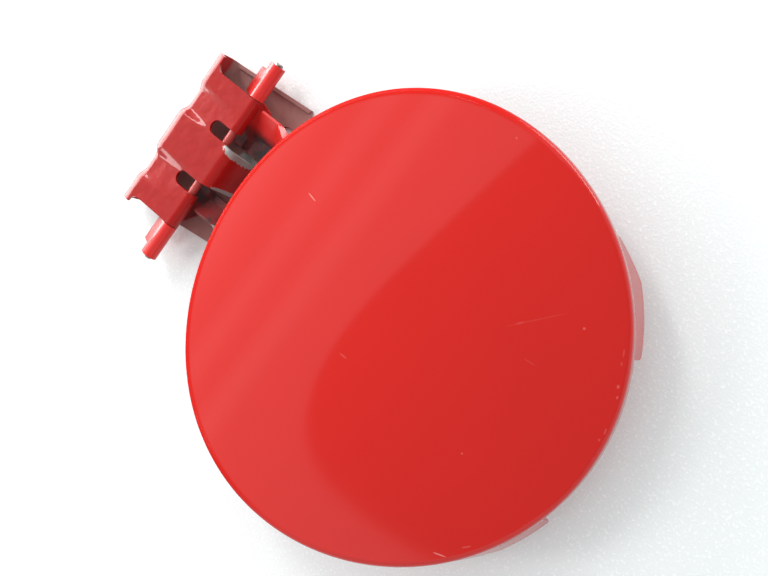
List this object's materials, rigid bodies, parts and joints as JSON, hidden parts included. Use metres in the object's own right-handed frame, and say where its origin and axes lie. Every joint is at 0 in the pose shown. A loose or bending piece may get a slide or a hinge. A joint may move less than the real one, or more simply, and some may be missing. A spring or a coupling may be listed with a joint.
{
  "type": "fuel filler flap",
  "caption": "Round red painted fuel filler flap with a crowned hemmed skin, inner panel and a folded sheet-metal pin hinge that bolts to the body.",
  "frame": {"origin": "on the bracket's mounting face, on the line of its two bolt holes, at the middle of the pin's length", "axes": "+Z to the outside of the car, +X from the hinge pin towards the flap, +Y along the hinge pin"},
  "size_m": [0.2057, 0.16, 0.0365],
  "materials": {
    "red_paint": "gloss",
    "red_primer": "satin",
    "pin_steel": "satin",
    "zinc_steel": "satin",
    "black_rubber": "matte"
  },
  "bodies": {
    "bracket": {"hinge_bracket": "red_paint", "hinge_pin": "pin_steel"},
    "flap": {"hinge_arm": "red_primer", "outer_skin": "red_paint", "inner_panel": "red_primer", "latch_striker": "zinc_steel", "upper_stop": "black_rubber", "lower_stop": "black_rubber"}
  },
  "joints": [
    {"name": "flap_hinge", "type": "hinge", "parent": "bracket", "child": "flap", "pos_m": [-0.0125, 0, 0.0125], "axis": [0, -1, 0], "range_deg": [0, 100]}
  ]
}
